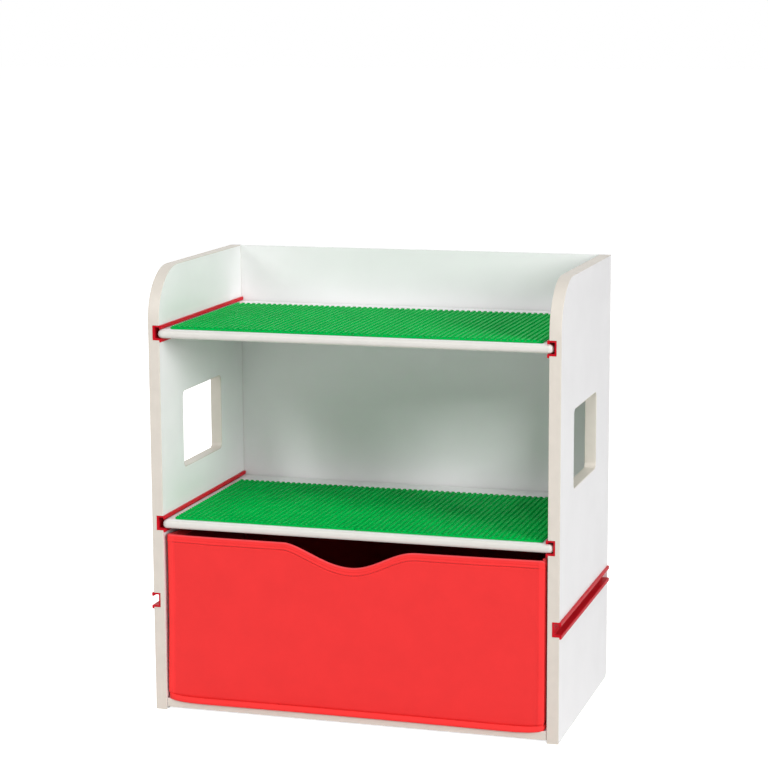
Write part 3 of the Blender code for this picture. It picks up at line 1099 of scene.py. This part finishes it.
    def shape(self):
        """The wall's cloth, with a slot for each of its finishes."""
        columns = [place - self.half for place in spread(2 * self.half)]
        levels = [self.levels(across) for across in columns]
        rows = len(levels[0])
        vertices, faces, slots = [], [], []
        for sign in (1, -1):
            for across, heights in zip(columns, levels):
                vertices += [self.point(across, up, sign) for up in heights]
        back = len(columns) * rows
        for column in range(len(columns) - 1):
            for row in range(rows - 1):
                corner = column * rows + row
                face = (corner, corner + rows, corner + rows + 1, corner + 1)
                faces += [face, tuple(index + back for index in reversed(face))]
                slots += [self.finish_at(columns[column], levels[column][row], sign) for sign in (1, -1)]
        return shape_from(self.node + "_cloth", vertices, faces, slots)

    def stitching(self):
        """Thread stitches along the hem, on the outer (1) and the inner (-1) cloth."""
        vertices, faces = [], []
        for sign in (1, -1):
            travelled = 0.0
            across = band_width - self.half
            while across < self.half - band_width:
                slope = self.slope(across)
                if travelled <= 0:
                    add_stitch(self, across, slope, sign, vertices, faces)
                    travelled = stitch_pitch
                travelled -= stitch_search * math.hypot(1, slope)
                across += stitch_search
        return shape_from(self.node + "_stitching", vertices, faces)


def add_stitch(wall, across, slope, sign, vertices, faces):
    """One stitch, a small spindle that lies in the hem's groove."""
    turn = wall.place.to_3x3()
    along = Vector((1, slope)).normalized()
    inward = Vector((slope, -1)).normalized()
    middle = Vector((across, wall.top(across))) + inward * wall.stitched_at(across)
    out = (turn @ Vector((0, 0, sign))).normalized()
    flat_inward = turn @ Vector((*inward, 0))
    first = len(vertices)
    for share, fullness in ((-1, 0.3), (-0.8, 0.8), (0, 1), (0.8, 0.8), (1, 0.3)):
        spot = middle + along * stitch_length / 2 * share
        centre = wall.point(spot.x, spot.y, sign) + out * stitch_rise * (1 - share * share)
        for angle in angles(stitch_sides):
            reach = flat_inward * math.cos(angle) + out * math.sin(angle)
            vertices.append(centre + reach * stitch_radius * fullness)
    faces += stacked_faces(stitch_sides, (len(vertices) - first) // stitch_sides, first=first)
    faces.append(tuple(range(first, first + stitch_sides))[::-1])
    faces.append(tuple(range(len(vertices) - stitch_sides, len(vertices))))


def foot_path():
    """Evenly spaced points along the rolled seam round the box's foot."""
    low, high = box_of("box_front_wall")
    rear = box_of("box_rear_wall")[1].y
    inset = seam_half_thickness - seam_proud
    near, far = (low.x + inset, low.y + inset), (high.x - inset, rear - inset)
    outline = rounded_rectangle(near, far, foot_corner_radius, 0)
    points = []
    for index, place in enumerate(outline):
        after = outline[(index + 1) % len(outline)]
        steps = max(round(math.dist(place, after) / cloth_step), 1)
        points += [Vector(place).lerp(Vector(after), step / steps) for step in range(steps)]
    return points


def foot_seam(cloth):
    """The rolled seam that joins the walls to the floor; at the front it sags over the board's edge.

    Where it stands out from the front wall, its upper inner side is drawn back to that wall."""
    low, high = box_of("box_front_wall")
    half = (high.x - low.x) / 2
    path = foot_path()
    vertices = []
    for index, spot in enumerate(path):
        heading = (path[(index + 1) % len(path)] - path[index - 1]).normalized()
        out = Vector((heading.y, -heading.x, 0))
        on_front = min(max(1 - (spot.y - low.y) / seam_front_reach, 0), 1)
        sag = on_front * hang_share(spot.x, half)
        lean = sag * (seam_half_thickness * 2 - seam_proud + seam_front_clearance)
        flare = left_edge_flare * on_front * max(-spot.x / half, 0) ** left_edge_fade
        middle = Vector((spot.x - flare, spot.y, low.z + seam_half_height - sag * seam_sag)) + out * lean
        wobble = 1 + seam_wobble * noise.noise(Vector((spot.x, spot.y, 0)) / pucker_length)
        for angle in angles(seam_sides):
            reach = out * math.cos(angle) * seam_half_thickness * wobble
            reach.z = math.sin(angle) * seam_half_height
            tie = min(max(-seam_tie * math.cos(angle), 0), 1) if math.sin(angle) > seam_tie_height else 0
            vertices.append(middle + reach - out * lean * tie)
    shape = shape_from("box_foot_seam", vertices, stacked_faces(seam_sides, len(path), closed=True))
    add_piece("box_foot_seam", shape, "fabric_box", [cloth])


def add_box_slab(node, name, finish):
    """A thin slab of the fabric box, with rounded corners and eased arrises."""
    shape = slab_shape(node, name, base_board_radius, eased_profile(size_of(node).z, slab_easing))
    add_piece(name, shape, "fabric_box", [finish], [node])


def add_fabric_box(cloth, thread, card):
    """The fabric box: four hemmed walls with their stitching, the rolled seam, the floor and its board."""
    # Copies of the cloth: the hem a little lighter, the side bands lighter as painted light, the rim paler
    # as a painted highlight, the inner face darker as painted shade
    recoloured = {"hem": hem_red, "lit_side_band": lit_band_red, "rim": rim_highlight_red, "inner_shade": inner_shade_red}
    finishes = [cloth] + [make_recoloured_cloth(f"red_{name}", colour) for name, colour in recoloured.items()]
    for side_name in walls:
        wall = SoftWall(side_name)
        add_piece(wall.node + "_cloth", wall.shape(), "fabric_box", finishes, [wall.node])
        add_piece(wall.node + "_stitching", wall.stitching(), "fabric_box", [thread])
    # The foot seam wears the side bands' lighter red, painted light on the roll
    foot_seam(finishes[lit_band_slot])
    add_box_slab("box_floor", "box_floor_cloth", cloth)
    add_box_slab("box_base_board", "box_base_card", card)


# Stage


def add_floor():
    """A pale floor that keeps the unit's shadow, and is white to the camera elsewhere."""
    shape = bpy.data.meshes.new("floor")
    corners = [(-1, -1), (1, -1), (1, 1), (-1, 1)]
    vertices = [(across * floor_reach, along * floor_reach, 0) for across, along in corners]
    shape.from_pydata(vertices, [], [(0, 1, 2, 3)])
    finish = bpy.data.materials.new("pale_floor")
    finish.use_nodes = True
    tree = finish.node_tree
    rays = add_node(tree, "ShaderNodeLightPath")
    inputs = {0: rays.outputs["Is Camera Ray"], 1: floor_glow}
    glow = add_node(tree, "ShaderNodeMath", inputs, operation="MULTIPLY")
    inputs = {
        "Base Color": (*floor_white, 1),
        "Roughness": 1.0,
        "Specular IOR Level": 0.0,
        "Emission Color": (1, 1, 1, 1),
        "Emission Strength": glow.outputs["Value"],
    }
    set_inputs(tree, tree.nodes["Principled BSDF"], inputs)
    shape.materials.append(finish)
    floor = linked("floor", shape)


def add_world():
    """A soft white surround: full white where it is seen, dimmer as light."""
    world = bpy.data.worlds.new("studio")
    bpy.context.scene.world = world
    world.use_nodes = True
    tree = world.node_tree
    rays = add_node(tree, "ShaderNodeLightPath").outputs
    seen = rays["Is Camera Ray"]
    for ray in ("Is Glossy Ray", "Is Transmission Ray"):
        inputs = {0: seen, 1: rays[ray]}
        seen = add_node(tree, "ShaderNodeMath", inputs, operation="MAXIMUM").outputs["Value"]
    strength = add_node(tree, "ShaderNodeMapRange", {"Value": seen, "To Min": world_light, "To Max": 1.0})
    inputs = {"Color": (1, 1, 1, 1), "Strength": strength.outputs["Result"]}
    set_inputs(tree, tree.nodes["Background"], inputs)


def add_lamps():
    """The softboxes, square lamps of a place, a size and watts that face the unit."""
    for name, (place, size, power) in lamps.items():
        light = bpy.data.lights.new(name, "AREA")
        light.shape = "SQUARE"
        light.size = size
        light.energy = power
        lamp = linked(name, light)
        lamp.location = place
        lamp.rotation_euler = (Vector(lamp_target) - Vector(place)).to_track_quat("-Z", "Y").to_euler()


def add_camera():
    """The camera at the photograph's place."""
    data = bpy.data.cameras.new("camera")
    data.sensor_width = camera_sensor
    data.lens = camera_lens
    data.clip_start, data.clip_end = camera_reach
    camera = linked("camera", data)
    heading = Matrix.Rotation(camera_yaw, 4, "Z") @ Matrix.Rotation(math.pi / 2 + camera_pitch, 4, "X")
    turn = heading @ Matrix.Rotation(camera_roll, 4, "Z")
    camera.matrix_world = Matrix.Translation(camera_place) @ turn
    bpy.context.scene.camera = camera


add_camera()
add_world()
add_floor()
bpy.context.scene.view_settings.view_transform = "Standard"
add_lamps()

laminate = make_laminate()
band = make_edge_band("cream_edge_band", cream)
rail_plastic = make_rail_plastic()
for panel_side_name, panel_side in side_signs.items():
    add_side_panel(panel_side_name, laminate, band)
    for rail_place in rail_places:
        add_rail(f"{rail_place}_rail_{panel_side_name}", panel_side, rail_place == "outer", rail_plastic)
bottom_radii = (bottom_edge_radius, bottom_edge_radius, bottom_plan_radius)
# The bottom board's edge wears the side panels' cream banding, darker than the shelves' pale banding; its
# darker tone partly paints the shade under the box's foot seam
add_board("bottom_board", "carcass", *bottom_radii, [laminate, band])
pale_band = make_edge_band("pale_edge_band", pale_cream)
board_radii = (board_lower_radius, board_upper_radius, board_plan_radius)
for board_place in board_places:
    board_body = f"{board_place}_building_board"
    add_board(f"{board_place}_board", board_body, *board_radii, [laminate, pale_band])
add_back_panel(make_hardboard())
add_nails(make_steel())
add_plates(make_plate_plastic())
add_fabric_box(make_fabric(), make_thread(), make_pressed_board())
beech = make_beech()
for node_name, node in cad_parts.items():
    if node_name.startswith("bottom_dowel"):
        node.material_slots[0].material = beech
